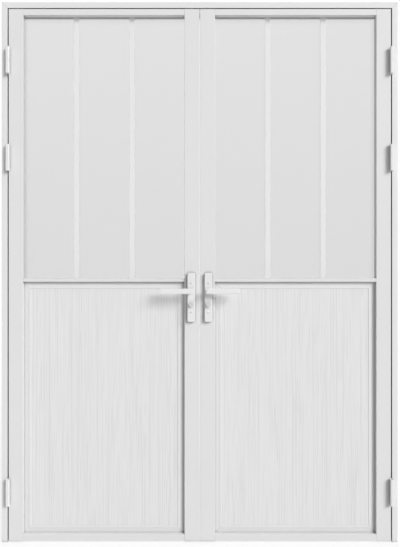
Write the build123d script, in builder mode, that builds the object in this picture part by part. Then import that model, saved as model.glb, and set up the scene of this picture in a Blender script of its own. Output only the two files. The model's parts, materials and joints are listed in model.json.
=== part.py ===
"""A glazed double door in its frame: two leaves of hollow profile, hung on barrel hinges.

X runs across the doorway, Y from the front face to the back, Z up from the floor.
The origin is on the floor, midway between the jambs and midway through the leaves.
The right leaf is modelled first, and the left leaf is its mirror image.
"""

import os

from build123d import *

os.makedirs("parts", exist_ok=True)

# Frame of two jambs and a head
frame_w = 1540.0
frame_h = 2100.0
frame_face = 22.1
frame_wall = 2.0
stop_room = 5.3
stop_t = 9.0
stop_overlap = 10.0
stop_gasket_lap = 6.0
cleat_length = 90.0
cleat_depth = 36.0
fixing_r = 4.0
fixing_y = 5.0
fixing_foot = 300.0
fixing_drop = 360.0
fixing_spacing_x = 900.0

# Gaps round the leaves
side_gap = 4.3
meeting_gap = 1.4
meeting_bevel = 2.6
floor_gap = 4.0

# Leaf profiles
leaf_depth = 54.0
hinge_stile_w = 56.6
lock_stile_w = 58.8
top_rail_h = 23.5
bottom_rail_h = 27.0
mid_rail_h = 13.6
mid_rail_z = 1019.6
mid_web_t = 4.0
leaf_wall = 2.0
lip_depth = 22.0
rebate_w = 12.0
deep_rebate_w = 16.0
edge_round = 1.2

# Glass unit, panel and what holds them
gasket_t = 2.0
gasket_w = 3.5
pane_t = 4.0
cavity_t = 10.0
unit_edge_gap = 3.0
web_edge_gap = 1.0
spacer_w = 3.0
spacer_inset = 0.3
bar_w = 20.0
bar_t = 1.8
bar_edge_r = 0.8
bar_shares = (0.330, 0.677)
panel_recess = 15.5
panel_side_gap = 0.3
moulding_w = 27.5
moulding_t = 0.8
moulding_strip_w = 11.0
moulding_crest = 23.5
crest_w = 1.6
crest_t = 2.8
moulding_edge_t = 1.7
field_raise = 1.8
bead_w = 8.0
bead_nose = 1.5
bead_back_w = 2.5
cut_gap = 0.2

# Two-knuckle hinges
hinge_h = 102.0
hinge_foot = 193.5
hinge_drop = 202.5
hinge_pitch = 377.0
hinge_axis_inset = 0.4
hinge_axis_proud = 11.5
knuckle_w = 13.1
knuckle_corner_r = 2.5
knuckle_gap = 0.4
knuckle_chamfer = 0.6
pin_r = 4.0
pin_inset = 1.0
wing_t = 1.6
wing_w = 30.0

# Handles: a plate and a lever on each face of each leaf, on one spindle
handle_backset = 32.5
lever_z = 977.0
plate_w = 29.5
plate_h = 189.5
plate_below = 119.3
plate_t = 14.0
plate_top_r = 2.5
plate_foot_r = 7.0
plate_chamfer = 1.3
lever_reach = 118.0
lever_heel = 9.0
lever_h = 20.5
lever_t = 10.0
lever_standoff = 22.0
lever_edge_r = 2.5
lever_end_chamfer = 1.0
neck_r = 8.5
spindle_w = 8.0
spindle_end_gap = 4.0
plate_screw_r = 2.0
plate_screw_head_r = 3.6
plate_screw_head_t = 1.8
plate_screw_rises = (30.2, -82.2)
plate_screw_end_gap = 3.0

# Lock inside the stile
cylinder_drop = 52.4
cylinder_r = 8.5
cylinder_proud = 8.0
plug_r = 5.5
plug_proud = 0.4
keyway_w = 1.6
keyway_h = 7.0
keyway_depth = 8.0
case_t = 16.0
case_back_gap = 1.0
case_top_rise = 22.0
case_bottom_drop = 68.0
forend_w = 22.0
forend_h = 150.0
hub_r = 6.2
bolt_t = 12.0
bolt_h = 20.0
bolt_rise = 3.0
bolt_proud = 0.6
bolt_length = 24.0
bolt_throw = 12.0
rod_r = 4.0
rod_backset = 17.3
rod_end_inset = 3.0
rod_throw = 16.0
rod_grip = 24.0
guide_w = 16.0
guide_h = 25.0
keep_w = 40.0
keep_depth = 20.0
keep_t = 2.0
keep_hole_r = 5.0

# Clearances
run_clear = 0.05
slide_clear = 0.3
hole_clear = 0.2
overrun = 5.0

# Planes and lines that several pieces share
leaf_front = -leaf_depth / 2
leaf_back = leaf_depth / 2
stop_front = leaf_back + stop_room
frame_back = stop_front + stop_t
frame_half = frame_w / 2
reveal_x = frame_half - frame_face
stop_x = reveal_x - side_gap - stop_overlap
head_under = frame_h - frame_face
leaf_out = reveal_x - side_gap
leaf_in = meeting_gap / 2
leaf_top = head_under - side_gap
leaf_bottom = floor_gap
leaf_h = leaf_top - leaf_bottom

sight_lock = leaf_in + lock_stile_w
sight_hinge = leaf_out - hinge_stile_w
sight_top = leaf_top - top_rail_h
sight_bottom = leaf_bottom + bottom_rail_h
mid_top = mid_rail_z + mid_rail_h / 2
mid_bottom = mid_rail_z - mid_rail_h / 2
web_top = mid_rail_z + mid_web_t / 2
web_bottom = mid_rail_z - mid_web_t / 2
rebate_lock = sight_lock - rebate_w
rebate_hinge = sight_hinge + deep_rebate_w
rebate_top = sight_top + deep_rebate_w
rebate_bottom = sight_bottom - rebate_w

lip_back = leaf_front + lip_depth
unit_front = lip_back + gasket_t
cavity_front = unit_front + pane_t
cavity_back = cavity_front + cavity_t
unit_back = cavity_back + pane_t
bead_front = unit_back + gasket_t
unit_x0 = rebate_lock + unit_edge_gap
unit_x1 = rebate_hinge - unit_edge_gap
unit_z0 = web_top + web_edge_gap
unit_z1 = rebate_top - unit_edge_gap
panel_z0 = rebate_bottom + unit_edge_gap
panel_z1 = web_bottom - web_edge_gap
panel_front = leaf_front + panel_recess

hinge_top = leaf_top - hinge_drop
hinge_heights = (leaf_bottom + hinge_foot, hinge_top - hinge_pitch, hinge_top)
axis_x = leaf_out - hinge_axis_inset
axis_y = leaf_front - hinge_axis_proud
handle_x = leaf_in + handle_backset
plate_front = leaf_front - plate_t
cylinder_z = lever_z - cylinder_drop
bolt_z = lever_z + bolt_rise
case_z0 = lever_z - case_bottom_drop
case_z1 = lever_z + case_top_rise
case_x1 = rebate_lock - leaf_wall - case_back_gap
forend_z0 = (case_z0 + case_z1 - forend_h) / 2
forend_z1 = forend_z0 + forend_h
rod_x = -leaf_in - rod_backset
rod_tail = rod_throw + rod_grip


def edge_x(y):
    """The meeting edge of the right leaf, which slants back so that the leaf can swing."""
    return leaf_in + meeting_bevel * (y - leaf_front) / leaf_depth


def block(x0, x1, y0, y1, z0, z1, mode=Mode.ADD):
    """A box between two corners, in the part that is being built."""
    with Locations(((x0 + x1) / 2, (y0 + y1) / 2, (z0 + z1) / 2)):
        Box(x1 - x0, y1 - y0, z1 - z0, mode=mode)


def cross_bore(x, z, radius, y0, y1, mode=Mode.SUBTRACT):
    """A round bar along Y, from one depth to another, cut out of the part unless told to add."""
    with Locations(Location((x, (y0 + y1) / 2, z), (90, 0, 0))):
        Cylinder(radius, y1 - y0, mode=mode)


def save(part, node):
    """Labels a finished piece and writes it under its own name."""
    part.label = node
    export_step(part, f"parts/{node}.step")


def save_pair(part, node):
    """Writes a piece of the right leaf, and its mirror image for the left leaf."""
    with BuildPart() as twin:
        mirror(part, about=Plane.YZ)
    save(part, f"{node}_right")
    save(twin.part, f"{node}_left")


def front_to_back(part):
    """The same piece turned over to the back face of the leaf."""
    with BuildPart() as turned:
        mirror(part, about=Plane.XZ)
    return turned.part


# Frame profile: a hollow box with a hollow stop behind the leaf
def frame_outline(inset):
    """Points of the frame profile as distance in from the outer face, and depth."""
    stop_in = frame_half - stop_x
    return [
        (inset, leaf_front + inset),
        (frame_face - inset, leaf_front + inset),
        (frame_face - inset, stop_front + inset),
        (stop_in - inset, stop_front + inset),
        (stop_in - inset, frame_back - inset),
        (inset, frame_back - inset),
    ]


mitre_span = frame_half - stop_x + overrun

with BuildPart() as jamb:
    with BuildSketch() as jamb_profile:
        with BuildLine():
            Polyline([(frame_half - u, y) for u, y in frame_outline(0)], close=True)
        make_face()
        fillet(jamb_profile.vertices().group_by(Axis.Y)[0], edge_round)
        with BuildLine():
            Polyline([(frame_half - u, y) for u, y in frame_outline(frame_wall)], close=True)
        make_face(mode=Mode.SUBTRACT)
    extrude(amount=frame_h)
    with BuildSketch(Plane.XZ) as jamb_mitre:
        with BuildLine():
            Polyline(
                (frame_half, frame_h),
                (frame_half - mitre_span, frame_h),
                (frame_half - mitre_span, frame_h - mitre_span),
                close=True,
            )
        make_face()
    extrude(amount=frame_back + overrun, both=True, mode=Mode.SUBTRACT)
    fixing_top = frame_h - fixing_drop
    for z in (fixing_foot, (fixing_foot + fixing_top) / 2, fixing_top):
        with Locations(Location((frame_half, fixing_y, z), (0, 90, 0))):
            Cylinder(fixing_r, 2 * (frame_face + overrun), mode=Mode.SUBTRACT)
save_pair(jamb.part, "jamb")

with BuildPart() as head:
    with BuildSketch(Plane.YZ.offset(-frame_half)) as head_profile:
        with BuildLine():
            Polyline([(y, frame_h - u) for u, y in frame_outline(0)], close=True)
        make_face()
        fillet(head_profile.vertices().group_by(Axis.Y)[0], edge_round)
        with BuildLine():
            Polyline([(y, frame_h - u) for u, y in frame_outline(frame_wall)], close=True)
        make_face(mode=Mode.SUBTRACT)
    extrude(amount=frame_w)
    for side in (-1, 1):
        with BuildSketch(Plane.XZ) as head_mitre:
            with BuildLine():
                Polyline(
                    (side * frame_half, frame_h),
                    (side * frame_half, frame_h - mitre_span),
                    (side * (frame_half - mitre_span), frame_h - mitre_span),
                    close=True,
                )
            make_face()
        extrude(amount=frame_back + overrun, both=True, mode=Mode.SUBTRACT)
    with Locations(*[(side * fixing_spacing_x / 2, fixing_y, frame_h) for side in (-1, 1)]):
        Cylinder(fixing_r, 2 * (frame_face + overrun), mode=Mode.SUBTRACT)
    with Locations((rod_x, 0, head_under)):
        Cylinder(keep_hole_r, 2 * (frame_wall + overrun), mode=Mode.SUBTRACT)
save(head.part, "head")

with BuildPart() as corner_cleats:
    cleat_in = frame_wall + slide_clear
    cleat_out = frame_face - frame_wall - slide_clear
    for side in (-1, 1):
        with BuildSketch(Plane.XZ) as cleat_outline:
            with BuildLine():
                Polyline(
                    (side * (frame_half - cleat_in), frame_h - cleat_in),
                    (side * (frame_half - cleat_in), frame_h - cleat_length),
                    (side * (frame_half - cleat_out), frame_h - cleat_length),
                    (side * (frame_half - cleat_out), frame_h - cleat_out),
                    (side * (frame_half - cleat_length), frame_h - cleat_out),
                    (side * (frame_half - cleat_length), frame_h - cleat_in),
                    close=True,
                )
            make_face()
        extrude(amount=cleat_depth / 2, both=True)
save(corner_cleats.part, "corner_cleats")

with BuildPart() as stop_gasket:
    gasket_x0 = leaf_out - stop_gasket_lap
    gasket_z0 = leaf_top - stop_gasket_lap
    with BuildSketch(Plane.XZ.offset(-stop_front)) as gasket_outline:
        with BuildLine():
            Polyline(
                (-reveal_x, 0),
                (-reveal_x, head_under),
                (reveal_x, head_under),
                (reveal_x, 0),
                (gasket_x0, 0),
                (gasket_x0, gasket_z0),
                (-gasket_x0, gasket_z0),
                (-gasket_x0, 0),
                close=True,
            )
        make_face()
    extrude(amount=stop_room - slide_clear)
save(stop_gasket.part, "stop_gasket")

with BuildPart() as bolt_keep:
    block(
        rod_x - keep_w / 2,
        rod_x + keep_w / 2,
        -keep_depth / 2,
        keep_depth / 2,
        head_under - keep_t,
        head_under,
    )
    with Locations((rod_x, 0, head_under)):
        Cylinder(keep_hole_r, 2 * (keep_t + overrun), mode=Mode.SUBTRACT)
save(bolt_keep.part, "bolt_keep")


# Stiles: full-height hollow profiles with a lip in front of the glazing
def hinge_stile_outline(inset):
    """Points of the hinge stile's profile, or of the hollow inside it."""
    return [
        (sight_hinge + inset, leaf_front + inset),
        (leaf_out - inset, leaf_front + inset),
        (leaf_out - inset, leaf_back - inset),
        (rebate_hinge + inset, leaf_back - inset),
        (rebate_hinge + inset, lip_back - inset),
        (sight_hinge + inset, lip_back - inset),
    ]


def lock_stile_outline(inset):
    """Points of the lock stile's profile, or of the hollow inside it."""
    return [
        (edge_x(leaf_front) + inset, leaf_front + inset),
        (sight_lock - inset, leaf_front + inset),
        (sight_lock - inset, lip_back - inset),
        (rebate_lock - inset, lip_back - inset),
        (rebate_lock - inset, leaf_back - inset),
        (edge_x(leaf_back) + inset, leaf_back - inset),
    ]


with BuildPart() as hinge_stile:
    with BuildSketch(Plane.XY.offset(leaf_bottom)) as hinge_stile_profile:
        with BuildLine():
            Polyline(hinge_stile_outline(0), close=True)
        make_face()
        fillet(hinge_stile_profile.vertices().group_by(Axis.Y)[0], edge_round)
        with BuildLine():
            Polyline(hinge_stile_outline(leaf_wall), close=True)
        make_face(mode=Mode.SUBTRACT)
    extrude(amount=leaf_h)
save_pair(hinge_stile.part, "hinge_stile")

with BuildPart() as lock_stile:
    with BuildSketch(Plane.XY.offset(leaf_bottom)) as lock_stile_profile:
        with BuildLine():
            Polyline(lock_stile_outline(0), close=True)
        make_face()
        fillet(lock_stile_profile.vertices().group_by(Axis.Y)[0], edge_round)
        with BuildLine():
            Polyline(lock_stile_outline(leaf_wall), close=True)
        make_face(mode=Mode.SUBTRACT)
    extrude(amount=leaf_h)
    block(0, edge_x(leaf_back) + leaf_wall, -forend_w / 2, forend_w / 2, forend_z0, forend_z1, Mode.SUBTRACT)
    slot_w = 2 * (max(neck_r, cylinder_r) + hole_clear)
    with BuildSketch(Plane.XZ) as handle_slot:
        with Locations((handle_x, (lever_z + cylinder_z) / 2)):
            SlotOverall(cylinder_drop + slot_w, slot_w, rotation=90)
    extrude(amount=leaf_depth, both=True, mode=Mode.SUBTRACT)
    for rise in plate_screw_rises:
        cross_bore(handle_x, lever_z + rise, plate_screw_r + hole_clear, -leaf_depth, leaf_depth)
save_pair(lock_stile.part, "lock_stile")


# Rails: hollow profiles between the stiles, coped to fit over the stiles' lips
def rail_outline(face_z, edge_z, shelf_z, inset):
    """Points of a rail's profile as depth and height, from its sight line to the leaf's edge."""
    up = 1 if edge_z > face_z else -1
    return [
        (leaf_front + inset, face_z + up * inset),
        (leaf_front + inset, edge_z - up * inset),
        (leaf_back - inset, edge_z - up * inset),
        (leaf_back - inset, shelf_z + up * inset),
        (lip_back - inset, shelf_z + up * inset),
        (lip_back - inset, face_z + up * inset),
    ]


def cope_rail_ends(z0, z1):
    """Cuts the front of a rail back to the stiles' sight lines."""
    for x0, x1 in ((rebate_lock - overrun, sight_lock), (sight_hinge, rebate_hinge + overrun)):
        block(x0, x1, leaf_front - overrun, lip_back, z0, z1, Mode.SUBTRACT)


for node, face_z, edge_z, shelf_z in (
    ("top_rail", sight_top, leaf_top, rebate_top),
    ("bottom_rail", sight_bottom, leaf_bottom, rebate_bottom),
):
    with BuildPart() as rail:
        with BuildSketch(Plane.YZ.offset(rebate_lock)) as rail_profile:
            with BuildLine():
                Polyline(rail_outline(face_z, edge_z, shelf_z, 0), close=True)
            make_face()
            fillet(rail_profile.vertices().group_by(Axis.Y)[0], edge_round)
            with BuildLine():
                Polyline(rail_outline(face_z, edge_z, shelf_z, leaf_wall), close=True)
            make_face(mode=Mode.SUBTRACT)
        extrude(amount=rebate_hinge - rebate_lock)
        cope_rail_ends(min(face_z, edge_z), max(face_z, edge_z))
    save_pair(rail.part, node)

with BuildPart() as mid_rail:
    with BuildSketch(Plane.YZ.offset(rebate_lock)) as mid_rail_profile:
        with Locations(((leaf_front + lip_back) / 2, mid_rail_z)):
            Rectangle(lip_depth, mid_rail_h)
        fillet(mid_rail_profile.vertices().group_by(Axis.Y)[0], edge_round)
        with Locations(((leaf_front + lip_back) / 2, mid_rail_z)):
            Rectangle(lip_depth - 2 * leaf_wall, mid_rail_h - 2 * leaf_wall, mode=Mode.SUBTRACT)
        with Locations(((lip_back + leaf_back) / 2, mid_rail_z)):
            Rectangle(leaf_back - lip_back, mid_web_t)
    extrude(amount=rebate_hinge - rebate_lock)
    cope_rail_ends(mid_bottom, mid_top)
save_pair(mid_rail.part, "mid_rail")

# Glass unit: two panes, the spacer that seals them apart and the flat bars bonded to the front pane
for node, y0, y1 in (("front_pane", unit_front, cavity_front), ("back_pane", cavity_back, unit_back)):
    with BuildPart() as pane:
        block(unit_x0, unit_x1, y0, y1, unit_z0, unit_z1)
    save_pair(pane.part, node)

spacer_x0 = unit_x0 + spacer_inset
spacer_x1 = unit_x1 - spacer_inset
spacer_z0 = unit_z0 + spacer_inset
spacer_z1 = unit_z1 - spacer_inset

with BuildPart() as pane_spacer:
    block(spacer_x0, spacer_x1, cavity_front, cavity_back, spacer_z0, spacer_z1)
    block(
        spacer_x0 + spacer_w,
        spacer_x1 - spacer_w,
        cavity_front,
        cavity_back,
        spacer_z0 + spacer_w,
        spacer_z1 - spacer_w,
        Mode.SUBTRACT,
    )
save_pair(pane_spacer.part, "pane_spacer")

with BuildPart() as glazing_bars:
    with BuildSketch(Plane.XY.offset(mid_top + cut_gap)) as bar_sections:
        for share in bar_shares:
            bar_x = sight_lock + share * (sight_hinge - sight_lock)
            with Locations((bar_x, unit_front - bar_t / 2)):
                Rectangle(bar_w, bar_t)
        fillet(bar_sections.vertices().group_by(Axis.Y)[0], bar_edge_r)
    extrude(amount=sight_top - mid_top - 2 * cut_gap)
save_pair(glazing_bars.part, "glazing_bars")

# Lower panel: its edge sits in the rebate and its field comes forward between the rails
field_x0 = sight_lock + panel_side_gap
field_x1 = sight_hinge - panel_side_gap
field_z0 = sight_bottom + panel_side_gap
field_z1 = mid_bottom - panel_side_gap

inner_x0 = field_x0 + moulding_w
inner_x1 = field_x1 - moulding_w
inner_z0 = field_z0 + moulding_w
inner_z1 = field_z1 - moulding_w

with BuildPart() as lower_panel:
    block(unit_x0, unit_x1, unit_front, unit_back, panel_z0, panel_z1)
    block(field_x0, field_x1, panel_front, unit_front, field_z0, field_z1)
    block(
        inner_x0 + cut_gap,
        inner_x1 - cut_gap,
        panel_front - field_raise,
        panel_front,
        inner_z0 + cut_gap,
        inner_z1 - cut_gap,
    )
save_pair(lower_panel.part, "lower_panel")


def moulding_profile(outer, inner):
    """Points across a moulding: a low outer strip, a slope up to the crest and a short fall to the panel."""
    way = 1 if inner > outer else -1
    return [
        (outer, panel_front),
        (outer, panel_front - moulding_t),
        (outer + way * moulding_strip_w, panel_front - moulding_t),
        (outer + way * (moulding_crest - crest_w / 2), panel_front - crest_t),
        (outer + way * (moulding_crest + crest_w / 2), panel_front - crest_t),
        (inner, panel_front - moulding_edge_t),
        (inner, panel_front),
    ]


def mitre(corners):
    """Keeps the part of a moulding inside its outline, which cuts its ends to the mitre."""
    with BuildSketch(Plane.XZ.offset(-panel_front)) as moulding_outline:
        with BuildLine():
            Polyline(corners, close=True)
        make_face()
    extrude(moulding_outline.sketch, amount=crest_t, mode=Mode.INTERSECT)


with BuildPart() as panel_mouldings:
    for outer, inner in ((field_x0, inner_x0), (field_x1, inner_x1)):
        with BuildPart() as upright_moulding:
            with BuildSketch(Plane.XY.offset(field_z0)) as upright_profile:
                with BuildLine():
                    Polyline(moulding_profile(outer, inner), close=True)
                make_face()
            extrude(amount=field_z1 - field_z0)
            ends = ((field_z0 + cut_gap, inner_z0 + cut_gap), (field_z1 - cut_gap, inner_z1 - cut_gap))
            (low_z, low_inner_z), (high_z, high_inner_z) = ends
            mitre([(outer, low_z), (outer, high_z), (inner, high_inner_z), (inner, low_inner_z)])
        add(upright_moulding.part)
    for outer, inner in ((field_z0, inner_z0), (field_z1, inner_z1)):
        with BuildPart() as level_moulding:
            with BuildSketch(Plane.YZ.offset(field_x0)) as level_profile:
                with BuildLine():
                    Polyline([(y, z) for z, y in moulding_profile(outer, inner)], close=True)
                make_face()
            extrude(amount=field_x1 - field_x0)
            ends = ((field_x0 + cut_gap, inner_x0 + cut_gap), (field_x1 - cut_gap, inner_x1 - cut_gap))
            (low_x, low_inner_x), (high_x, high_inner_x) = ends
            mitre([(low_x, outer), (high_x, outer), (high_inner_x, inner), (low_inner_x, inner)])
        add(level_moulding.part)
save_pair(panel_mouldings.part, "panel_mouldings")

# Openings as seen from the front, between the lips, and from the back, between the beads
bead_lock = rebate_lock + bead_w
bead_hinge = rebate_hinge - bead_w
front_openings = (
    (sight_lock, sight_hinge, mid_top, sight_top),
    (sight_lock, sight_hinge, sight_bottom, mid_bottom),
)
back_openings = (
    (bead_lock, bead_hinge, mid_top, rebate_top - bead_w),
    (bead_lock, bead_hinge, rebate_bottom + bead_w, mid_bottom),
)

with BuildPart() as glazing_gaskets:
    for openings, y0, y1 in ((front_openings, lip_back, unit_front), (back_openings, unit_back, bead_front)):
        for x0, x1, z0, z1 in openings:
            block(x0 - gasket_w, x1 + gasket_w, y0, y1, z0 - gasket_w, z1 + gasket_w)
            block(x0, x1, y0, y1, z0, z1, Mode.SUBTRACT)
save_pair(glazing_gaskets.part, "glazing_gaskets")


def bead_outline(wall, sight):
    """Points of a back bead's profile, which slopes back from a nose at its sight edge to a narrow back."""
    back = wall + bead_back_w if sight > wall else wall - bead_back_w
    return [
        (wall, bead_front),
        (sight, bead_front),
        (sight, bead_front + bead_nose),
        (back, leaf_back),
        (wall, leaf_back),
    ]


with BuildPart() as back_beads:
    bead_walls = ((web_top, rebate_top), (rebate_bottom, web_bottom))
    for (x0, x1, z0, z1), (wall_z0, wall_z1) in zip(back_openings, bead_walls):
        for wall, sight in ((rebate_lock, x0), (rebate_hinge, x1)):
            with BuildSketch(Plane.XY.offset(wall_z0)) as upright_bead:
                with BuildLine():
                    Polyline(bead_outline(wall, sight), close=True)
                make_face()
            extrude(amount=wall_z1 - wall_z0)
        for wall, sight in ((wall_z0, z0), (wall_z1, z1)):
            with BuildSketch(Plane.YZ.offset(x0 + cut_gap)) as level_bead:
                with BuildLine():
                    Polyline([(y, z) for z, y in bead_outline(wall, sight)], close=True)
                make_face()
            extrude(amount=x1 - x0 - 2 * cut_gap)
save_pair(back_beads.part, "back_beads")


# Hinges: the lower knuckle belongs to the frame and the upper one to the leaf
def hinge_half(z0, z1, wing_x0, wing_x1, full_z0, full_z1):
    """A knuckle with its neck, and a wing that lies in the gap beside the leaf."""
    block(wing_x0, wing_x1, leaf_front, leaf_front + wing_w, full_z0, full_z1)
    block(wing_x0, wing_x1, axis_y, leaf_front, z0 + knuckle_chamfer, z1 - knuckle_chamfer)
    with Locations((axis_x, axis_y, (z0 + z1) / 2)):
        Cylinder(pin_r + run_clear, z1 - z0, mode=Mode.SUBTRACT)


def knuckle(z0, z1):
    """A flat-faced barrel about the hinge axis, rounded at its upright edges so that it can turn."""
    with BuildSketch(Plane.XY.offset(z0)) as knuckle_outline:
        with Locations((axis_x, axis_y)):
            RectangleRounded(knuckle_w, knuckle_w, knuckle_corner_r)
    extrude(knuckle_outline.sketch, amount=z1 - z0)


for node, is_frame_half in (("hinge_frame_halves", True), ("hinge_leaf_halves", False)):
    with BuildPart() as hinge_halves:
        spans = []
        for z in hinge_heights:
            full = (z - hinge_h / 2, z + hinge_h / 2)
            own = (full[0], z - knuckle_gap / 2) if is_frame_half else (z + knuckle_gap / 2, full[1])
            spans.append((own, full))
            knuckle(*own)
            ends = hinge_halves.faces(Select.LAST).sort_by(Axis.Z)
            chamfer((ends[-1] if is_frame_half else ends[0]).edges(), knuckle_chamfer)
        wing = (reveal_x - wing_t, reveal_x) if is_frame_half else (leaf_out, leaf_out + wing_t)
        for own, full in spans:
            hinge_half(*own, *wing, *full)
    save_pair(hinge_halves.part, node)

with BuildPart() as hinge_pins:
    for side in (-1, 1):
        for z in hinge_heights:
            with Locations((side * axis_x, axis_y, z)):
                Cylinder(pin_r, hinge_h - 2 * pin_inset)
save(hinge_pins.part, "hinge_pins")

# Handle plates
plate_z0 = lever_z - plate_below
plate_mid_z = plate_z0 + plate_h / 2


def plate_blank():
    """A plate on the front face of the lock stile, with rounder corners at its foot."""
    with BuildSketch(Plane.XZ.offset(-leaf_front)) as plate_outline:
        with Locations((handle_x, plate_mid_z)):
            Rectangle(plate_w, plate_h)
        corners = plate_outline.vertices().group_by(Axis.Z)
        fillet(corners[0], plate_foot_r)
        fillet(plate_outline.vertices().group_by(Axis.Z)[-1], plate_top_r)
    extrude(plate_outline.sketch, amount=plate_t)


def plate_bores():
    """Bores for the lever's neck and the key cylinder, cut out of the plate being built."""
    cross_bore(handle_x, lever_z, neck_r + run_clear, plate_front - overrun, leaf_front)
    cross_bore(handle_x, cylinder_z, cylinder_r + run_clear, plate_front - overrun, leaf_front)


with BuildPart() as front_plate:
    plate_blank()
    chamfer(front_plate.edges().group_by(Axis.Y)[0], plate_chamfer)
    plate_bores()
    for rise in plate_screw_rises:
        screw_z = lever_z + rise
        cross_bore(handle_x, screw_z, plate_screw_r + hole_clear, plate_front, leaf_front)
        cross_bore(
            handle_x,
            screw_z,
            plate_screw_head_r + hole_clear,
            plate_front - overrun,
            plate_front + plate_screw_head_t,
        )
save_pair(front_plate.part, "front_plate")

with BuildPart() as blind_plate:
    plate_blank()
    chamfer(blind_plate.edges().group_by(Axis.Y)[0], plate_chamfer)
    plate_bores()
    for rise in plate_screw_rises:
        thread_end = plate_front + plate_screw_end_gap - slide_clear
        cross_bore(handle_x, lever_z + rise, plate_screw_r + run_clear, thread_end, leaf_front)
save_pair(front_to_back(blind_plate.part), "back_plate")

with BuildPart() as plate_screws:
    head_seat = plate_front + plate_screw_head_t
    screw_end = -plate_front - plate_screw_end_gap
    for rise in plate_screw_rises:
        cross_bore(handle_x, lever_z + rise, plate_screw_head_r, plate_front, head_seat, Mode.ADD)
        cross_bore(handle_x, lever_z + rise, plate_screw_r, head_seat, screw_end, Mode.ADD)
save_pair(plate_screws.part, "plate_screws")

# Levers: a flat bar on a round neck, bored square for the spindle
lever_back = plate_front - lever_standoff
lever_front = lever_back - lever_t

with BuildPart() as front_lever:
    with BuildSketch(Plane.YZ.offset(handle_x - lever_heel)) as lever_section:
        with Locations(((lever_front + lever_back) / 2, lever_z)):
            RectangleRounded(lever_t, lever_h, lever_edge_r)
    extrude(amount=lever_heel + lever_reach)
    chamfer(front_lever.faces().filter_by(Axis.X).edges(), lever_end_chamfer)
    cross_bore(handle_x, lever_z, neck_r, lever_back, leaf_front - slide_clear, Mode.ADD)
    block(
        handle_x - spindle_w / 2 - run_clear,
        handle_x + spindle_w / 2 + run_clear,
        lever_back + spindle_end_gap,
        leaf_front,
        lever_z - spindle_w / 2 - run_clear,
        lever_z + spindle_w / 2 + run_clear,
        Mode.SUBTRACT,
    )
save_pair(front_lever.part, "front_lever")
save_pair(front_to_back(front_lever.part), "back_lever")

with BuildPart() as spindle:
    spindle_half = -lever_back - spindle_end_gap - slide_clear
    block(
        handle_x - spindle_w / 2,
        handle_x + spindle_w / 2,
        -spindle_half,
        spindle_half,
        lever_z - spindle_w / 2,
        lever_z + spindle_w / 2,
    )
save_pair(spindle.part, "spindle")

# Key cylinder, through the leaf from plate to plate, with the plug that turns in it
with BuildPart() as lock_cylinder:
    cylinder_half = -plate_front + cylinder_proud
    cross_bore(handle_x, cylinder_z, cylinder_r, -cylinder_half, cylinder_half, Mode.ADD)
    cross_bore(handle_x, cylinder_z, plug_r + run_clear, -cylinder_half, cylinder_half)
save_pair(lock_cylinder.part, "lock_cylinder")

with BuildPart() as key_plug:
    plug_half = cylinder_half + plug_proud
    cross_bore(handle_x, cylinder_z, plug_r, -plug_half, plug_half, Mode.ADD)
    for y0, y1 in ((-plug_half, -plug_half + keyway_depth), (plug_half - keyway_depth, plug_half)):
        block(
            handle_x - keyway_w / 2,
            handle_x + keyway_w / 2,
            y0,
            y1,
            cylinder_z - keyway_h / 2,
            cylinder_z + keyway_h / 2,
            Mode.SUBTRACT,
        )
save_pair(key_plug.part, "key_plug")


# Locks: a case behind the meeting edge of each leaf
def case_body(side):
    """The case of one leaf's lock, bored for the spindle and the key cylinder."""
    with BuildSketch(Plane.XY.offset(case_z0)) as case_outline:
        with BuildLine():
            Polyline(
                (side * (edge_x(-case_t / 2) + leaf_wall), -case_t / 2),
                (side * case_x1, -case_t / 2),
                (side * case_x1, case_t / 2),
                (side * (edge_x(case_t / 2) + leaf_wall), case_t / 2),
                close=True,
            )
        make_face()
    extrude(case_outline.sketch, amount=case_z1 - case_z0)
    cross_bore(side * handle_x, lever_z, hub_r, -case_t, case_t)
    cross_bore(side * handle_x, cylinder_z, cylinder_r + run_clear, -case_t, case_t)


def edge_plate(side):
    """A plate that closes the slot in a lock stile's meeting edge, flush with the edge."""
    with BuildSketch(Plane.XY.offset(forend_z0)) as edge_plate_outline:
        with BuildLine():
            Polyline(
                (side * edge_x(-forend_w / 2), -forend_w / 2),
                (side * (edge_x(-forend_w / 2) + leaf_wall), -forend_w / 2),
                (side * (edge_x(forend_w / 2) + leaf_wall), forend_w / 2),
                (side * edge_x(forend_w / 2), forend_w / 2),
                close=True,
            )
        make_face()
    extrude(edge_plate_outline.sketch, amount=forend_h)


def bolt_way(x0, x1):
    """The channel that the lock bolt slides in, cut out of the part that is being built."""
    half_t = bolt_t / 2 + slide_clear
    half_h = bolt_h / 2 + slide_clear
    block(x0, x1, -half_t, half_t, bolt_z - half_h, bolt_z + half_h, Mode.SUBTRACT)


bolt_nose_x = edge_x(0) - bolt_proud
bolt_tail_x = bolt_nose_x + bolt_length
bolt_thrown_x = bolt_nose_x - bolt_throw

with BuildPart() as lock_case_right:
    case_body(1)
    edge_plate(1)
    bolt_way(0, bolt_tail_x + slide_clear)
save(lock_case_right.part, "lock_case_right")

with BuildPart() as lock_bolt:
    block(bolt_nose_x, bolt_tail_x, -bolt_t / 2, bolt_t / 2, bolt_z - bolt_h / 2, bolt_z + bolt_h / 2)
save(lock_bolt.part, "lock_bolt")

with BuildPart() as lock_case_left:
    case_body(-1)
    bolt_way(bolt_thrown_x - slide_clear, 0)
    with Locations((rod_x, 0, (case_z0 + case_z1) / 2)):
        Cylinder(rod_r + run_clear, case_z1 - case_z0, mode=Mode.SUBTRACT)
save(lock_case_left.part, "lock_case_left")

with BuildPart() as strike_plate:
    edge_plate(-1)
    bolt_way(bolt_thrown_x, 0)
save(strike_plate.part, "strike_plate")

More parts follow.
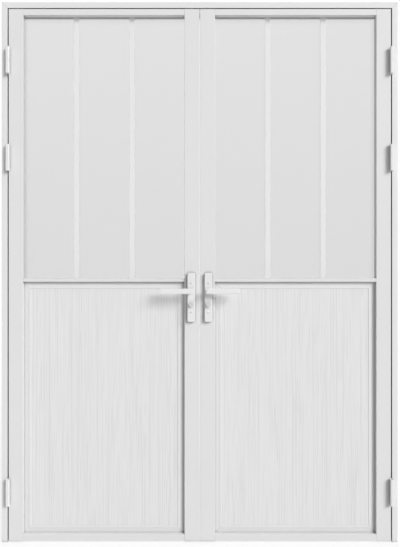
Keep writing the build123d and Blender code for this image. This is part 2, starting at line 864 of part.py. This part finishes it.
# Shoot bolts of the left leaf, and the guides in the ends of its lock stile
with BuildPart() as top_shoot_bolt:
    rod_top = leaf_top - rod_end_inset
    rod_foot = case_z1 - rod_tail
    with Locations((rod_x, 0, (rod_top + rod_foot) / 2)):
        Cylinder(rod_r, rod_top - rod_foot)
save(top_shoot_bolt.part, "top_shoot_bolt")

with BuildPart() as bottom_shoot_bolt:
    rod_tip = leaf_bottom + rod_end_inset
    rod_head = case_z0 + rod_tail
    with Locations((rod_x, 0, (rod_tip + rod_head) / 2)):
        Cylinder(rod_r, rod_head - rod_tip)
save(bottom_shoot_bolt.part, "bottom_shoot_bolt")

with BuildPart() as bolt_guides:
    for z0, z1 in ((leaf_bottom, leaf_bottom + guide_h), (leaf_top - guide_h, leaf_top)):
        block(
            rod_x - guide_w / 2,
            rod_x + guide_w / 2,
            leaf_front + leaf_wall,
            leaf_back - leaf_wall,
            z0,
            z1,
        )
        with Locations((rod_x, 0, (z0 + z1) / 2)):
            Cylinder(rod_r + run_clear, guide_h, mode=Mode.SUBTRACT)
save(bolt_guides.part, "bolt_guides")
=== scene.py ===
"""Looks of the glazed double door: finishes, small screws, glazing bars, studio light and camera."""

import json
import math

import bmesh
import bpy
from mathutils import Matrix, Vector


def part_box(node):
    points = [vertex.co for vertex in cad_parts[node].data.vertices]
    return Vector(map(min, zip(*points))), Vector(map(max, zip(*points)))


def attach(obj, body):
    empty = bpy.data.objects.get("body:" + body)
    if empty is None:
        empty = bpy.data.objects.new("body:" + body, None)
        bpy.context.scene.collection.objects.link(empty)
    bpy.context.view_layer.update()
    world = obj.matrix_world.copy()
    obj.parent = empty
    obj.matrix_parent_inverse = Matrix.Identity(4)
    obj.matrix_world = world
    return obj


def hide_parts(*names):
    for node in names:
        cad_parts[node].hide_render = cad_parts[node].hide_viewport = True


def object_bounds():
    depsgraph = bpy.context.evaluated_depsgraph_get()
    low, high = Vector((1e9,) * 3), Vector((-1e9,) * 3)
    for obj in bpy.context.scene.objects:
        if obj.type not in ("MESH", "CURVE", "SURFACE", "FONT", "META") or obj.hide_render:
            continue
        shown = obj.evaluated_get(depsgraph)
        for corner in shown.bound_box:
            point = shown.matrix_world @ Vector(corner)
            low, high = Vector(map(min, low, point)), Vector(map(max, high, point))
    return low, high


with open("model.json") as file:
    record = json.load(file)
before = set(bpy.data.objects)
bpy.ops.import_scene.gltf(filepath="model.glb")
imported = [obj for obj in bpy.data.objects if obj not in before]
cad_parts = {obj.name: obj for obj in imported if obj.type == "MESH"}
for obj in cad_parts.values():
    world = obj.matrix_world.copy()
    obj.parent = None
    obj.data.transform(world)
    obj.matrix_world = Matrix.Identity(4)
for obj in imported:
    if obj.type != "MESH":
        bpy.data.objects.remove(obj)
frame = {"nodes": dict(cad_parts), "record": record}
cad_low, cad_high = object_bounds()
door_nodes = frame["nodes"]
side_signs = {"left": -1, "right": 1}

# Nearly all of a noise lies between these two values
noise_low = 0.3
noise_high = 0.7


# Shader helpers
def put(tree, kind, **settings):
    """Adds a node to a tree and sets its own properties."""
    node = tree.nodes.new(kind)
    for name, value in settings.items():
        setattr(node, name, value)
    return node


def fill(node, values):
    """Sets the plain values of a node's input sockets."""
    for socket, value in values.items():
        node.inputs[socket].default_value = value
    return node


def open_group(name, inputs, outputs):
    """An empty node group with its named sockets, and the two nodes that carry them."""
    group = bpy.data.node_groups.new(name, "ShaderNodeTree")
    for socket, kind, value in inputs:
        made = group.interface.new_socket(socket, in_out="INPUT", socket_type=kind)
        if value is not None:
            made.default_value = value
    for socket in outputs:
        group.interface.new_socket(socket, in_out="OUTPUT", socket_type="NodeSocketFloat")
    return group, put(group, "NodeGroupInput"), put(group, "NodeGroupOutput")


def stretched_noise(tree, place, stretch, detail, roughness=0.5, distortion=0.0):
    """Noise on the object's own coordinates, with a scale along each axis."""
    mapping = fill(put(tree, "ShaderNodeMapping"), {"Scale": stretch})
    noise = fill(
        put(tree, "ShaderNodeTexNoise"),
        {"Scale": 1.0, "Detail": detail, "Roughness": roughness, "Distortion": distortion},
    )
    tree.links.new(place, mapping.inputs["Vector"])
    tree.links.new(mapping.outputs["Vector"], noise.inputs["Vector"])
    return noise.outputs["Fac"]


def ranged(tree, value, low, high, to_low=0.0, to_high=1.0):
    """Carries a value from one range to another, held at the ends."""
    node = fill(
        put(tree, "ShaderNodeMapRange"),
        {"From Min": low, "From Max": high, "To Min": to_low, "To Max": to_high},
    )
    tree.links.new(value, node.inputs["Value"])
    return node.outputs["Result"]


def spread_noise(tree, noise, to_low=0.0, to_high=1.0):
    """Carries a noise from the range where it mostly lies to another."""
    return ranged(tree, noise, noise_low, noise_high, to_low, to_high)


def combined(tree, operation, first, second=0.0):
    """A math node on one or two values, each a socket or a number."""
    node = put(tree, "ShaderNodeMath", operation=operation)
    for slot, value in enumerate((first, second)):
        if isinstance(value, (int, float)):
            node.inputs[slot].default_value = value
        else:
            tree.links.new(value, node.inputs[slot])
    return node.outputs["Value"]


def masked_off(tree, value, mask):
    """A value that falls to zero as the mask rises to one."""
    return combined(tree, "SUBTRACT", value, combined(tree, "MULTIPLY", value, mask))


def grey(level):
    """A neutral colour."""
    return (level, level, level, 1.0)


# Effects that several finishes share
satin_peel = 900.0


def make_spray_group():
    """A sprayed coat: orange peel, faint clouds in the tone and wiped patches in the gloss."""
    group, given, sent = open_group(
        "sprayed_coat",
        [("Place", "NodeSocketVector", None), ("Peel", "NodeSocketFloat", satin_peel)],
        ["Height", "Tone", "Gloss"],
    )
    place = given.outputs["Place"]
    scaled = put(group, "ShaderNodeVectorMath", operation="SCALE")
    group.links.new(place, scaled.inputs[0])
    group.links.new(given.outputs["Peel"], scaled.inputs["Scale"])
    peel = stretched_noise(group, scaled.outputs["Vector"], stretch=(1.0, 1.0, 1.0), detail=2.0)
    clouds = stretched_noise(group, place, stretch=(5.0, 5.0, 5.0), detail=3.0)
    wipe = stretched_noise(
        group, place, stretch=(22.0, 22.0, 9.0), detail=3.0, roughness=0.6, distortion=0.4
    )
    group.links.new(peel, sent.inputs["Height"])
    group.links.new(spread_noise(group, clouds), sent.inputs["Tone"])
    group.links.new(spread_noise(group, wipe), sent.inputs["Gloss"])
    return group


def make_grain_group():
    """Upright wood grain pressed into a board: short strokes, thicker in places, over long fine cracks."""
    group, given, sent = open_group(
        "upright_grain",
        [("Place", "NodeSocketVector", None)],
        ["Height", "Tone"],
    )
    place = given.outputs["Place"]
    short_noise = stretched_noise(group, place, stretch=(360.0, 360.0, 7.0), detail=1.0, distortion=0.2)
    long_noise = stretched_noise(
        group, place, stretch=(210.0, 210.0, 1.1), detail=2.0, roughness=0.55, distortion=0.4
    )
    broad_noise = stretched_noise(group, place, stretch=(22.0, 22.0, 2.5), detail=2.0, distortion=0.5)
    strokes = ranged(group, short_noise, low=0.5, high=0.66)
    cracks = ranged(group, long_noise, low=0.53, high=0.68)
    busy = ranged(group, broad_noise, low=0.35, high=0.65, to_low=0.4)
    scattered = combined(group, "MULTIPLY", strokes, busy)
    grooves = combined(group, "MAXIMUM", scattered, cracks)
    group.links.new(combined(group, "MULTIPLY", grooves, -1.0), sent.inputs["Height"])
    group.links.new(grooves, sent.inputs["Tone"])
    return group


def make_brush_group():
    """Drawn or turned metal: fine parallel lines with a slow change in tone."""
    group, given, sent = open_group(
        "drawn_lines",
        [("Place", "NodeSocketVector", None)],
        ["Height", "Tone"],
    )
    place = given.outputs["Place"]
    lines = stretched_noise(group, place, stretch=(60.0, 60.0, 2600.0), detail=2.0, roughness=0.6)
    clouds = stretched_noise(group, place, stretch=(30.0, 30.0, 30.0), detail=3.0)
    group.links.new(lines, sent.inputs["Height"])
    group.links.new(spread_noise(group, clouds), sent.inputs["Tone"])
    return group


def make_mitre_group(half_width, height, dark_reach, clear_reach):
    """The hairline where the jambs and the head meet at forty-five degrees."""
    group, given, sent = open_group(
        "mitre_hairline",
        [("Place", "NodeSocketVector", None)],
        ["Line"],
    )
    parts = put(group, "ShaderNodeSeparateXYZ")
    group.links.new(given.outputs["Place"], parts.inputs["Vector"])
    from_middle = combined(group, "ABSOLUTE", parts.outputs["X"])
    from_side = combined(group, "SUBTRACT", half_width, from_middle)
    from_top = combined(group, "SUBTRACT", height, parts.outputs["Z"])
    apart = combined(group, "ABSOLUTE", combined(group, "SUBTRACT", from_side, from_top))
    line = ranged(group, apart, dark_reach, clear_reach, to_low=1.0, to_high=0.0)
    group.links.new(line, sent.inputs["Line"])
    return group


spray_group = make_spray_group()
grain_group = make_grain_group()
brush_group = make_brush_group()
mitre_group = make_mitre_group(cad_high.x, cad_high.z, dark_reach=0.0002, clear_reach=0.0005)

# How smooth the satin coat is, and the tones of its clouds and of the mitre's hairline
satin_rough = (0.40, 0.48)
cloud_share = 0.985
hairline_share = 0.45

# How far the painted shade in a corner reaches, and how much of its surroundings a square corner sees
painted_shade_reach = 0.012
corner_open_share = 0.5


# Finishes
def open_finish(name):
    """A new material with its tree, its shader and the object's own coordinates."""
    finish = bpy.data.materials.new(name)
    finish.use_nodes = True
    tree = finish.node_tree
    shader = fill(tree.nodes["Principled BSDF"], {"Specular IOR Level": 0.3})
    place = put(tree, "ShaderNodeTexCoord").outputs["Object"]
    return finish, tree, shader, place


def use_group(tree, group, place):
    """Places a shared effect in a finish, on the object's own coordinates."""
    node = put(tree, "ShaderNodeGroup", node_tree=group)
    tree.links.new(place, node.inputs["Place"])
    return node


def tint(tree, shader, amount, low_level, high_level):
    """Blends the base colour between two near greys by a changing amount."""
    mix = put(tree, "ShaderNodeMix", data_type="RGBA")
    fill(mix, {"A": grey(low_level), "B": grey(high_level)})
    tree.links.new(amount, mix.inputs["Factor"])
    tree.links.new(mix.outputs["Result"], shader.inputs["Base Color"])
    return mix.outputs["Result"]


def emboss(tree, shader, height, strength, depth):
    """Turns a height into a bump on the shader."""
    bump = fill(put(tree, "ShaderNodeBump"), {"Strength": strength, "Distance": depth})
    tree.links.new(height, bump.inputs["Height"])
    tree.links.new(bump.outputs["Normal"], shader.inputs["Normal"])


def score_mitres(tree, shader, place, colour, level):
    """Draws the dark hairline of the mitres over a colour, and puts out its mask."""
    line = use_group(tree, mitre_group, place).outputs["Line"]
    seam = put(tree, "ShaderNodeMix", data_type="RGBA")
    seam.inputs["B"].default_value = grey(level * hairline_share)
    tree.links.new(line, seam.inputs["Factor"])
    tree.links.new(colour, seam.inputs["A"])
    tree.links.new(seam.outputs["Result"], shader.inputs["Base Color"])
    return line


def paint_shade_in_gaps(tree, shader, in_gap, in_corner):
    """Paints shade into the colour by occlusion, darkening it to one share at the bottom of a gap and to
    another in a square corner.
    """
    occlusion = put(tree, "ShaderNodeAmbientOcclusion", samples=8)
    occlusion.inputs["Distance"].default_value = painted_shade_reach
    open_share = occlusion.outputs["AO"]
    gap = ranged(tree, open_share, 0.0, corner_open_share, to_low=in_gap)
    corner = ranged(tree, open_share, corner_open_share, 1.0, to_low=in_corner)
    kept = combined(tree, "MULTIPLY", gap, corner)
    colour = shader.inputs["Base Color"].links[0].from_socket
    mix = put(tree, "ShaderNodeMix", data_type="RGBA", blend_type="MULTIPLY")
    mix.inputs["Factor"].default_value = 1.0
    tree.links.new(colour, mix.inputs["A"])
    tree.links.new(kept, mix.inputs["B"])
    tree.links.new(mix.outputs["Result"], shader.inputs["Base Color"])


def sprayed_finish(name, level, peel=satin_peel, rough=satin_rough, painted_shade=None, mitred=False):
    """White sprayed coat, with painted shade in its gaps and corners and hairlines at its mitres where
    asked.
    """
    finish, tree, shader, place = open_finish(name)
    spray = use_group(tree, spray_group, place)
    spray.inputs["Peel"].default_value = peel
    colour = tint(tree, shader, spray.outputs["Tone"], level * cloud_share, level)
    height = spray.outputs["Height"]
    if mitred:
        line = score_mitres(tree, shader, place, colour, level)
        height = combined(tree, "SUBTRACT", height, line)
    gloss = ranged(tree, spray.outputs["Gloss"], 0.0, 1.0, *rough)
    tree.links.new(gloss, shader.inputs["Roughness"])
    emboss(tree, shader, height, strength=0.12, depth=0.0004)
    if painted_shade is not None:
        paint_shade_in_gaps(tree, shader, **painted_shade)
    return finish


def embossed_board(name, level, groove_level, rough, painted_shade):
    """White skin of the lower panels, pressed with upright wood grain whose grooves are painted darker as
    shade, and with painted shade in its gaps and corners.
    """
    finish, tree, shader, place = open_finish(name)
    grain = use_group(tree, grain_group, place)
    spray = use_group(tree, spray_group, place)
    # Painted shade: the grain's grooves are tinted darker than the skin
    tint(tree, shader, grain.outputs["Tone"], level, groove_level)
    gloss = ranged(tree, spray.outputs["Gloss"], 0.0, 1.0, *rough)
    tree.links.new(gloss, shader.inputs["Roughness"])
    emboss(tree, shader, grain.outputs["Height"], strength=0.5, depth=0.0006)
    paint_shade_in_gaps(tree, shader, **painted_shade)
    return finish


def pane_glass(name, foot_level, top_level, shade):
    """A glass pane whose tint is painted a little darker at its foot as shade, and which lets the lamps
    through.
    """
    finish, tree, shader, place = open_finish(name)
    fill(shader, {"Transmission Weight": 1.0, "IOR": 1.45, "Specular IOR Level": 0.5})
    film = stretched_noise(
        tree, place, stretch=(6.0, 6.0, 2.5), detail=3.0, roughness=0.55, distortion=0.3
    )
    tree.links.new(spread_noise(tree, film, to_high=0.03), shader.inputs["Roughness"])
    parts = put(tree, "ShaderNodeSeparateXYZ")
    tree.links.new(place, parts.inputs["Vector"])
    # Painted shade: the tint darkens from the pane's top down to its foot
    low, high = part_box("front_pane_left")
    climb = ranged(tree, parts.outputs["Z"], low.z, high.z)
    tint(tree, shader, climb, foot_level, top_level)
    clear = fill(put(tree, "ShaderNodeBsdfTransparent"), {"Color": grey(shade)})
    light_path = put(tree, "ShaderNodeLightPath")
    mix = put(tree, "ShaderNodeMixShader")
    tree.links.new(light_path.outputs["Is Shadow Ray"], mix.inputs["Fac"])
    tree.links.new(shader.outputs["BSDF"], mix.inputs[1])
    tree.links.new(clear.outputs["BSDF"], mix.inputs[2])
    tree.links.new(mix.outputs["Shader"], tree.nodes["Material Output"].inputs["Surface"])
    return finish


def drawn_metal(name, level, rough):
    """Bare metal with fine drawn lines."""
    finish, tree, shader, place = open_finish(name)
    brush = use_group(tree, brush_group, place)
    shader.inputs["Metallic"].default_value = 1.0
    dull_share = 0.92
    tint(tree, shader, brush.outputs["Tone"], level * dull_share, level)
    tree.links.new(spread_noise(tree, brush.outputs["Height"], *rough), shader.inputs["Roughness"])
    emboss(tree, shader, brush.outputs["Height"], strength=0.08, depth=0.0002)
    return finish


def moulded_finish(name, level, rough, scale):
    """Rubber or plastic with a fine moulded skin."""
    finish, tree, shader, place = open_finish(name)
    skin = stretched_noise(tree, place, stretch=(scale, scale, scale), detail=4.0, roughness=0.6)
    dark_share = 0.9
    light_share = 1.08
    tint(tree, shader, spread_noise(tree, skin), level * dark_share, level * light_share)
    tree.links.new(spread_noise(tree, skin, *rough), shader.inputs["Roughness"])
    emboss(tree, shader, skin, strength=0.15, depth=0.0003)
    return finish


trim_peel = 1200.0
trim_rough = (0.42, 0.50)
board_rough = (0.46, 0.56)
# How much of the colour the painted shade keeps at the bottom of a gap and in a square corner, for each
# finish
coat_painted_shade = {"in_gap": 0.1, "in_corner": 0.78}
frame_painted_shade = {"in_gap": 0.0, "in_corner": 0.78}
lock_stile_painted_shade = {"in_gap": 0.3, "in_corner": 0.6}
handle_painted_shade = {"in_gap": 0.4, "in_corner": 0.75}
moulding_painted_shade = {"in_gap": 0.6, "in_corner": 0.72}
board_painted_shade = {"in_gap": 0.75, "in_corner": 0.8}

# One finish for each material slot of the record
finishes = {
    "coated_aluminium": sprayed_finish("satin_white_coat", level=0.775, painted_shade=coat_painted_shade),
    "clear_glass": pane_glass("clear_pane_glass", foot_level=0.98, top_level=0.985, shade=1.0),
    "spacer_metal": sprayed_finish("white_spacer_coat", level=0.80, peel=trim_peel, rough=trim_rough),
    "bar_metal": sprayed_finish("white_bar_coat", level=0.825, peel=trim_peel, rough=trim_rough),
    "panel_board": embossed_board(
        "embossed_white_board", level=0.80, groove_level=0.725, rough=board_rough, painted_shade=board_painted_shade
    ),
    "grey_rubber": moulded_finish("grey_gasket_rubber", level=0.16, rough=(0.56, 0.68), scale=700.0),
    "hinge_metal": sprayed_finish("white_hinge_coat", level=0.82, peel=1300.0, rough=(0.34, 0.42)),
    "pin_steel": drawn_metal("pin_steel", level=0.55, rough=(0.22, 0.34)),
    "handle_metal": sprayed_finish(
        "white_handle_coat", level=0.83, peel=1500.0, rough=(0.32, 0.40), painted_shade=handle_painted_shade
    ),
    "lock_steel": drawn_metal("satin_nickel", level=0.68, rough=(0.26, 0.38)),
    "guide_plastic": moulded_finish("white_guide_plastic", level=0.62, rough=(0.42, 0.54), scale=500.0),
}

# Finishes of single pieces, which differ from their slot's
# The frame's coat paints the darkest shade at the bottom of its gaps
frame_coat = sprayed_finish("satin_white_frame_coat", level=0.795, painted_shade=frame_painted_shade, mitred=True)
grey_glass = pane_glass("grey_pane_glass", foot_level=0.703, top_level=0.752, shade=0.85)
# The bottom rails' coat paints no shade into its corners and is a touch darker in tone
coat_without_painted_shade = sprayed_finish("white_coat_without_painted_shade", level=0.768)
# The lock stiles' coat paints deeper shade into its corners, round the handle plates
lock_stile_coat = sprayed_finish("satin_white_lock_coat", level=0.775, painted_shade=lock_stile_painted_shade)
# The mouldings' skin paints shade into its gaps and corners
smooth_skin = sprayed_finish("smooth_white_board", level=0.785, rough=board_rough, painted_shade=moulding_painted_shade)

for subpart in frame["record"]["subparts"]:
    shown = door_nodes[subpart["node"]]
    shown.data.materials.clear()
    shown.data.materials.append(finishes[subpart["material_slot"]])
for name in ("jamb_left", "jamb_right", "head"):
    door_nodes[name].data.materials[0] = frame_coat
for side in side_signs:
    door_nodes[f"back_pane_{side}"].data.materials[0] = grey_glass
    door_nodes[f"bottom_rail_{side}"].data.materials[0] = coat_without_painted_shade
    door_nodes[f"lock_stile_{side}"].data.materials[0] = lock_stile_coat
    door_nodes[f"panel_mouldings_{side}"].data.materials[0] = smooth_skin


# Mesh helpers
def join_shape(whole, part):
    """Adds a shape to another and frees it."""
    carrier = bpy.data.meshes.new("carrier")
    part.to_mesh(carrier)
    part.free()
    whole.from_mesh(carrier)
    bpy.data.meshes.remove(carrier)


def add_piece(name, shape, body, slot):
    """Makes a shape a piece of the door, which moves with a body and has a slot's finish."""
    mesh = bpy.data.meshes.new(name)
    shape.to_mesh(mesh)
    shape.free()
    mesh.materials.append(finishes[slot])
    piece = bpy.data.objects.new(name, mesh)
    bpy.context.scene.collection.objects.link(piece)
    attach(piece, body)
    return piece


# Small screws
def cross_screw_head(radius, height, recess_w, recess_depth):
    """A low round head with a cross recess, standing on the XY plane and facing +Z."""
    rim_round = height * 0.45
    recess_reach = radius * 0.62
    top_level = height * 0.999
    cut_tolerance = 1e-7
    head = bmesh.new()
    bmesh.ops.create_circle(head, cap_ends=True, segments=28, radius=radius)
    bmesh.ops.recalc_face_normals(head, faces=head.faces)
    raised = bmesh.ops.extrude_face_region(head, geom=head.faces[:])
    risen = [item for item in raised["geom"] if isinstance(item, bmesh.types.BMVert)]
    bmesh.ops.translate(head, verts=risen, vec=(0.0, 0.0, height))
    rim = [edge for edge in head.edges if all(vert in risen for vert in edge.verts)]
    bmesh.ops.bevel(head, geom=rim, offset=rim_round, segments=2, profile=0.5, affect="EDGES", material=-1)
    cut_offsets = (-recess_w / 2, recess_w / 2, -recess_reach, recess_reach)
    for axis, offset in [(axis, offset) for axis in (0, 1) for offset in cut_offsets]:
        top = [face for face in head.faces if face.calc_center_median().z > top_level]
        parts = set(top)
        for face in top:
            parts.update(face.edges)
            parts.update(face.verts)
        point = Vector((0.0, 0.0, 0.0))
        normal = Vector((0.0, 0.0, 0.0))
        point[axis] = offset
        normal[axis] = 1.0
        bmesh.ops.bisect_plane(
            head, geom=list(parts), dist=cut_tolerance, plane_co=point, plane_no=normal
        )
    recess = []
    for face in head.faces:
        centre = face.calc_center_median()
        near = min(abs(centre.x), abs(centre.y))
        far = max(abs(centre.x), abs(centre.y))
        if centre.z > top_level and near < recess_w / 2 and far < recess_reach:
            recess.append(face)
    sunk = bmesh.ops.extrude_face_region(head, geom=recess)
    bmesh.ops.delete(head, geom=recess, context="FACES_ONLY")
    floor_verts = [item for item in sunk["geom"] if isinstance(item, bmesh.types.BMVert)]
    bmesh.ops.translate(head, verts=floor_verts, vec=(0.0, 0.0, -recess_depth))
    bmesh.ops.recalc_face_normals(head, faces=head.faces)
    template = bpy.data.meshes.new("cross_screw_head")
    head.to_mesh(template)
    head.free()
    return template


def add_shank(screw, radius, length):
    """Adds a plain shank under a screw's head."""
    bmesh.ops.create_cone(
        screw,
        cap_ends=True,
        segments=16,
        radius1=radius,
        radius2=radius,
        depth=length,
        matrix=Matrix.Translation((0.0, 0.0, -length / 2)),
    )


def set_screws(name, template, places, facing, body, shank=None):
    """Copies of a screw head at several points, all facing one way, as one piece on a body."""
    turn = Vector(facing).to_track_quat("Z", "Y").to_matrix().to_4x4()
    screws = bmesh.new()
    for point in places:
        screw = bmesh.new()
        screw.from_mesh(template)
        if shank is not None:
            add_shank(screw, **shank)
        bmesh.ops.transform(screw, matrix=Matrix.Translation(point) @ turn, verts=screw.verts)
        join_shape(screws, screw)
    return add_piece(name, screws, body, "lock_steel")


plate_head_r = 0.0036
plate_head_t = 0.0018
plate_shank_r = 0.002
plate_head = cross_screw_head(plate_head_r, plate_head_t, recess_w=0.0012, recess_depth=0.0011)
flat_head = cross_screw_head(radius=0.0034, height=0.0004, recess_w=0.0011, recess_depth=0.00035)

for side in side_signs:
    low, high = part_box(f"plate_screws_{side}")
    middle_x = (low.x + high.x) / 2
    heights = (low.z + plate_head_r, high.z - plate_head_r)
    screws = set_screws(
        f"cross_screws_{side}",
        plate_head,
        places=[(middle_x, low.y + plate_head_t, z) for z in heights],
        facing=(0.0, -1.0, 0.0),
        body=f"{side}_leaf",
        shank={"radius": plate_shank_r, "length": high.y - low.y - plate_head_t},
    )
    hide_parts(f"plate_screws_{side}")

# The hinges' sizes as built, and where the screws sit in their wings
leaf_outer_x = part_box("hinge_stile_right")[1].x
hinge_h = 0.102
hinge_pitch = 0.377
wing_t = 0.0016
side_gap = 0.0043
frame_screw_y = -0.012
leaf_screw_y = -0.003
screw_height_shares = (0.14, 0.5, 0.86)
for side, sign in side_signs.items():
    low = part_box(f"hinge_frame_halves_{side}")[0]
    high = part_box(f"hinge_leaf_halves_{side}")[1]
    frame_wing_x = sign * (leaf_outer_x + side_gap - wing_t)
    leaf_wing_x = sign * (leaf_outer_x + wing_t)
    feet = (low.z, high.z - hinge_h - hinge_pitch, high.z - hinge_h)
    heights = [foot + hinge_h * share for foot in feet for share in screw_height_shares]
    set_screws(
        f"hinge_frame_screws_{side}",
        flat_head,
        places=[(frame_wing_x, frame_screw_y, z) for z in heights],
        facing=(-sign, 0.0, 0.0),
        body="frame",
    )
    set_screws(
        f"hinge_leaf_screws_{side}",
        flat_head,
        places=[(leaf_wing_x, leaf_screw_y, z) for z in heights],
        facing=(sign, 0.0, 0.0),
        body=f"{side}_leaf",
    )

# The plates in the sloped meeting edges, whose faces are this far from the middle at half depth
edge_plates = {"left": "strike_plate", "right": "lock_case_right"}
edge_face_x = 0.00198
edge_screw_inset = 0.009
for side, sign in side_signs.items():
    low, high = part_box(edge_plates[side])
    heights = (low.z + edge_screw_inset, high.z - edge_screw_inset)
    set_screws(
        f"edge_plate_screws_{side}",
        flat_head,
        places=[(sign * edge_face_x, 0.0, z) for z in heights],
        facing=(-sign, 0.0, 0.0),
        body=f"{side}_leaf",
    )


# Glazing bars
def flat_bar(low, high, edge_r):
    """An upright flat bar between two corners, its long edges rounded."""
    bar = bmesh.new()
    middle = (low + high) / 2
    size = high - low
    stretch = Matrix.Translation(middle) @ Matrix.Diagonal((size.x, size.y, size.z, 1.0))
    bmesh.ops.create_cube(bar, size=1.0, matrix=stretch)
    uprights = [edge for edge in bar.edges if abs(edge.verts[0].co.z - edge.verts[1].co.z) > size.z / 2]
    bmesh.ops.bevel(bar, geom=uprights, offset=edge_r, segments=3, profile=0.5, affect="EDGES", material=-1)
    return bar


# The bars stand off the pane by the thickness of their bond
bar_w = 0.02
bar_edge_r = 0.0006
bond_t = 0.0003
for side in side_signs:
    low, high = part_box(f"glazing_bars_{side}")
    strips = bmesh.new()
    for left in (low.x, high.x - bar_w):
        bar_low = Vector((left, low.y, low.z))
        bar_high = Vector((left + bar_w, high.y - bond_t, high.z))
        join_shape(strips, flat_bar(bar_low, bar_high, bar_edge_r))
    piece = add_piece(f"glazing_strips_{side}", strips, f"{side}_leaf", "bar_metal")
    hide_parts(f"glazing_bars_{side}")


# Studio
def white_to_eye(tree):
    """One where a ray reaches the eye straight, in a reflection or through glass, otherwise zero."""
    rays = put(tree, "ShaderNodeLightPath").outputs
    seen = combined(tree, "MAXIMUM", rays["Is Camera Ray"], rays["Is Glossy Ray"])
    seen = combined(tree, "MAXIMUM", seen, rays["Is Transmission Ray"])
    scattered = combined(tree, "MINIMUM", rays["Diffuse Depth"], 1.0)
    return masked_off(tree, seen, scattered)


def build_floor(half_size, paper_level, lift, bounce, even_light):
    """A plain white floor that keeps the door's shadow and throws a soft light upwards."""
    sheet = bmesh.new()
    bmesh.ops.create_grid(sheet, x_segments=1, y_segments=1, size=half_size)
    mesh = bpy.data.meshes.new("studio_floor")
    sheet.to_mesh(mesh)
    sheet.free()
    floor = bpy.data.objects.new("studio_floor", mesh)
    bpy.context.scene.collection.objects.link(floor)
    paper = bpy.data.materials.new("white_paper")
    paper.use_nodes = True
    tree = paper.node_tree
    shader = tree.nodes["Principled BSDF"]
    fill(shader, {"Base Color": grey(paper_level), "Roughness": 0.9, "Specular IOR Level": 0.0})
    shader.inputs["Emission Color"].default_value = grey(1.0)
    to_eye = white_to_eye(tree)
    facing = fill(put(tree, "ShaderNodeLayerWeight"), {"Blend": 0.5}).outputs["Facing"]
    upright = combined(tree, "SUBTRACT", 1.0, facing)
    upward = combined(tree, "MULTIPLY", combined(tree, "MULTIPLY", upright, upright), bounce)
    upward = combined(tree, "ADD", upward, even_light)
    thrown = masked_off(tree, upward, to_eye)
    glow = combined(tree, "ADD", combined(tree, "MULTIPLY", to_eye, lift), thrown)
    tree.links.new(glow, shader.inputs["Emission Strength"])
    mesh.materials.append(paper)


def build_world(level_light, overhead_light):
    """Soft light that grows towards the ceiling, with a plain white background to the eye."""
    world = bpy.data.worlds.new("studio_world")
    bpy.context.scene.world = world
    world.use_nodes = True
    tree = world.node_tree
    background = fill(tree.nodes["Background"], {"Color": grey(1.0)})
    to_eye = white_to_eye(tree)
    parts = put(tree, "ShaderNodeSeparateXYZ")
    tree.links.new(put(tree, "ShaderNodeTexCoord").outputs["Generated"], parts.inputs["Vector"])
    height = parts.outputs["Z"]
    overhead = combined(tree, "MULTIPLY", combined(tree, "MULTIPLY", height, height), overhead_light)
    soft = combined(tree, "ADD", overhead, level_light)
    hidden = masked_off(tree, soft, to_eye)
    tree.links.new(combined(tree, "ADD", hidden, to_eye), background.inputs["Strength"])


# The panes mirror the white studio but not the lamps, which would show as pale discs
unlit_panes = bpy.data.collections.new("panes_without_lamps")
for side in side_signs:
    for face in ("front", "back"):
        unlit_panes.objects.link(door_nodes[f"{face}_pane_{side}"])
for member in unlit_panes.collection_objects:
    member.light_linking.link_state = "EXCLUDE"


def add_soft_lamp(name, towards, spread, strength):
    """An even soft light from one side of the studio, as from a large far window."""
    data = bpy.data.lights.new(name, "SUN")
    data.angle = math.radians(spread)
    data.energy = strength
    lamp = bpy.data.objects.new(name, data)
    bpy.context.scene.collection.objects.link(lamp)
    lamp.location = Vector((0.0, cad_low.y, cad_high.z / 2)) + Vector(towards)
    lamp.rotation_mode = "QUATERNION"
    lamp.rotation_quaternion = Vector(towards).to_track_quat("Z", "Y")
    lamp.visible_transmission = False
    lamp.light_linking.receiver_collection = unlit_panes


def add_camera(face_y, distance, centre_x, centre_z, seen_height):
    """A level camera square to the door, which sees a given height of its front face."""
    data = bpy.data.cameras.new("door_camera")
    data.sensor_fit = "AUTO"
    data.sensor_width = 36.0
    data.lens = data.sensor_width * distance / seen_height
    camera = bpy.data.objects.new("door_camera", data)
    bpy.context.scene.collection.objects.link(camera)
    camera.location = (centre_x, face_y - distance, centre_z)
    camera.rotation_mode = "QUATERNION"
    camera.rotation_quaternion = Vector((0.0, -1.0, 0.0)).to_track_quat("Z", "Y")
    bpy.context.scene.camera = camera


build_floor(half_size=30.0, paper_level=0.3, lift=0.692, bounce=0.85, even_light=0.106)
build_world(level_light=0.06, overhead_light=0.78)
add_soft_lamp("key_lamp", towards=(1.0, -1.0, 0.7), spread=30.0, strength=2.66)
add_soft_lamp("back_lamp", towards=(0.0, 1.0, 0.55), spread=60.0, strength=1.5)
door_face_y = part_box("head")[0].y
add_camera(door_face_y, distance=2.10, centre_x=0.00097, centre_z=1.0451, seen_height=2.1273)

bpy.context.scene.view_settings.view_transform = "Standard"
